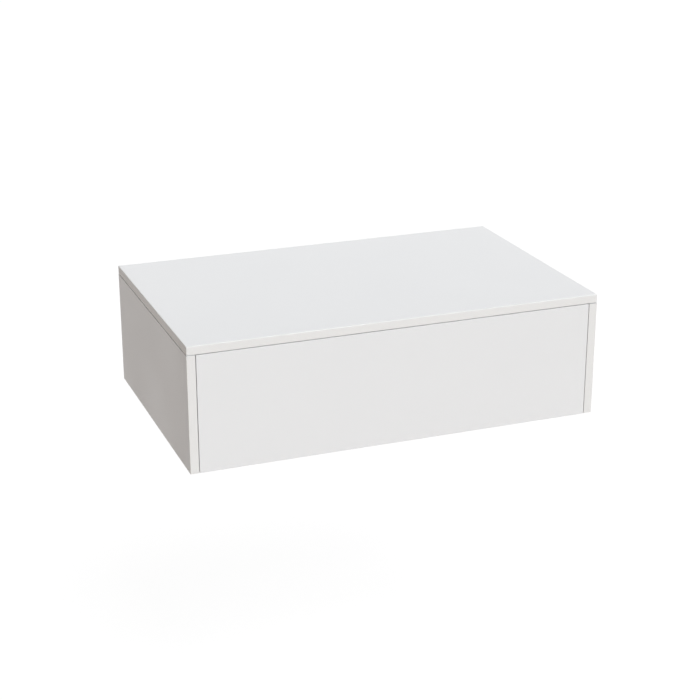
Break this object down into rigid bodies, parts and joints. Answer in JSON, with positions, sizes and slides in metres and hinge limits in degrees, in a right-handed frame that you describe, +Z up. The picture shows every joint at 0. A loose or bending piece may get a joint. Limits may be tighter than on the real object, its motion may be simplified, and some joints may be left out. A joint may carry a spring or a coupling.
{
  "type": "wall-hung drawer unit",
  "caption": "Box-shaped wall-hung unit with one full-width inset drawer pulled from below, on soft-close undermount runners, hung on a wall rail.",
  "frame": {"origin": "middle of the wall rail's row of screw slots, in the wall's plane", "axes": "+X across the unit to its right as seen from behind the drawer's back looking at the wall, that is the viewer's right in front of the unit; +Y into the wall; +Z up"},
  "size_m": [0.8, 0.5, 0.24],
  "materials": {
    "lacquered_board": "satin white lacquer on fibreboard",
    "melamine_board": "matt light melamine",
    "beech": "plain fluted beech",
    "zinc_steel": "bright zinc plating",
    "cast_zinc": "bare zinc casting",
    "shaft_aluminium": "drawn, clear anodised",
    "grey_plastic": "moulded, fine matt",
    "white_plastic": "moulded acetal"
  },
  "bodies": {
    "wall_mount": {"wall_rail": "zinc_steel", "hanger_hook_left": "cast_zinc", "hanger_hook_right": "cast_zinc"},
    "hanger_slides": {"hanger_carrier_left": "cast_zinc", "hanger_carrier_right": "cast_zinc"},
    "carcass": {"top_board": "lacquered_board", "side_panel_left": "lacquered_board", "side_panel_right": "lacquered_board", "bottom_board": "lacquered_board", "back_panel": "melamine_board", "wood_dowels": "beech", "hanger_housing_left": "zinc_steel", "hanger_housing_right": "zinc_steel", "hanger_screws": "zinc_steel", "runner_cabinet_left": "zinc_steel", "runner_cabinet_right": "zinc_steel", "runner_screws": "zinc_steel", "rack_left": "white_plastic", "rack_right": "white_plastic", "damper_left": "grey_plastic", "damper_right": "grey_plastic"},
    "drawer": {"drawer_front": "lacquered_board", "drawer_inner_front": "melamine_board", "drawer_side_left": "melamine_board", "drawer_side_right": "melamine_board", "drawer_back": "melamine_board", "drawer_bottom": "melamine_board", "front_screws": "zinc_steel", "runner_drawer_left": "zinc_steel", "runner_drawer_right": "zinc_steel", "shaft_bracket_left": "grey_plastic", "shaft_bracket_right": "grey_plastic", "lock_body_left": "grey_plastic", "lock_body_right": "grey_plastic"},
    "sync_shaft": {"sync_shaft": "shaft_aluminium", "pinion_left": "white_plastic", "pinion_right": "white_plastic"},
    "height_screw_left": {"height_screw_left": "zinc_steel"},
    "depth_screw_left": {"depth_screw_left": "zinc_steel"},
    "runner_middle_left": {"runner_middle_left": "zinc_steel"},
    "lower_carriage_left": {"lower_carriage_left": "grey_plastic", "lower_rollers_left": "white_plastic"},
    "upper_carriage_left": {"upper_carriage_left": "grey_plastic", "upper_rollers_left": "white_plastic"},
    "lock_lever_left": {"lock_lever_left": "grey_plastic"},
    "height_screw_right": {"height_screw_right": "zinc_steel"},
    "depth_screw_right": {"depth_screw_right": "zinc_steel"},
    "runner_middle_right": {"runner_middle_right": "zinc_steel"},
    "lower_carriage_right": {"lower_carriage_right": "grey_plastic", "lower_rollers_right": "white_plastic"},
    "upper_carriage_right": {"upper_carriage_right": "grey_plastic", "upper_rollers_right": "white_plastic"},
    "lock_lever_right": {"lock_lever_right": "grey_plastic"}
  },
  "joints": [
    {"name": "unit_depth", "type": "slide", "parent": "wall_mount", "child": "hanger_slides", "axis": [0, -1, 0], "range_m": [0, 0.008]},
    {"name": "unit_height", "type": "slide", "parent": "hanger_slides", "child": "carcass", "axis": [0, 0, 1], "range_m": [-0.005, 0.005]},
    {"name": "drawer", "type": "slide", "parent": "carcass", "child": "drawer", "axis": [0, -1, 0], "range_m": [0, 0.42]},
    {"name": "height_screw_left", "type": "hinge", "parent": "carcass", "child": "height_screw_left", "pos_m": [-0.37875, -0.06, 0.038], "axis": [0, 0, 1], "range_deg": [-1801.8, 1801.8]},
    {"name": "depth_screw_left", "type": "hinge", "parent": "hanger_slides", "child": "depth_screw_left", "pos_m": [-0.3715, -0.08, 0.04], "axis": [0, -1, 0], "range_deg": [0, 2882.88]},
    {"name": "runner_middle_left", "type": "slide", "parent": "carcass", "child": "runner_middle_left", "axis": [0, -1, 0], "range_m": [0, 0.21]},
    {"name": "lower_carriage_left", "type": "slide", "parent": "carcass", "child": "lower_carriage_left", "axis": [0, -1, 0], "range_m": [0, 0.105]},
    {"name": "upper_carriage_left", "type": "slide", "parent": "carcass", "child": "upper_carriage_left", "axis": [0, -1, 0], "range_m": [0, 0.315]},
    {"name": "lock_lever_left", "type": "hinge", "parent": "drawer", "child": "lock_lever_left", "pos_m": [-0.324, -0.45, -0.12], "axis": [0, 0, -1], "range_deg": [0, 12], "stiffness_Nm_per_rad": 0.05, "springref_deg": -2.86},
    {"name": "height_screw_right", "type": "hinge", "parent": "carcass", "child": "height_screw_right", "pos_m": [0.37875, -0.06, 0.038], "axis": [0, 0, 1], "range_deg": [-1801.8, 1801.8]},
    {"name": "depth_screw_right", "type": "hinge", "parent": "hanger_slides", "child": "depth_screw_right", "pos_m": [0.3715, -0.08, 0.04], "axis": [0, -1, 0], "range_deg": [0, 2882.88]},
    {"name": "runner_middle_right", "type": "slide", "parent": "carcass", "child": "runner_middle_right", "axis": [0, -1, 0], "range_m": [0, 0.21]},
    {"name": "lower_carriage_right", "type": "slide", "parent": "carcass", "child": "lower_carriage_right", "axis": [0, -1, 0], "range_m": [0, 0.105]},
    {"name": "upper_carriage_right", "type": "slide", "parent": "carcass", "child": "upper_carriage_right", "axis": [0, -1, 0], "range_m": [0, 0.315]},
    {"name": "lock_lever_right", "type": "hinge", "parent": "drawer", "child": "lock_lever_right", "pos_m": [0.324, -0.45, -0.12], "axis": [0, 0, 1], "range_deg": [0, 12], "stiffness_Nm_per_rad": 0.05, "springref_deg": -2.86},
    {"name": "sync_shaft", "type": "hinge", "parent": "drawer", "child": "sync_shaft", "pos_m": [0, -0.052, -0.12562], "axis": [1, 0, 0], "range_deg": [0, 2675.14]}
  ],
  "couplings": [
    {"joint": "height_screw_left", "follows": "unit_height", "rad_per_m": 6283.2},
    {"joint": "depth_screw_left", "follows": "unit_depth", "rad_per_m": 6283.2},
    {"joint": "runner_middle_left", "follows": "drawer", "ratio": 0.5},
    {"joint": "lower_carriage_left", "follows": "drawer", "ratio": 0.25},
    {"joint": "upper_carriage_left", "follows": "drawer", "ratio": 0.75},
    {"joint": "height_screw_right", "follows": "unit_height", "rad_per_m": 6283.2},
    {"joint": "depth_screw_right", "follows": "unit_depth", "rad_per_m": 6283.2},
    {"joint": "runner_middle_right", "follows": "drawer", "ratio": 0.5},
    {"joint": "lower_carriage_right", "follows": "drawer", "ratio": 0.25},
    {"joint": "upper_carriage_right", "follows": "drawer", "ratio": 0.75},
    {"joint": "sync_shaft", "follows": "drawer", "rad_per_m": 111.11}
  ]
}
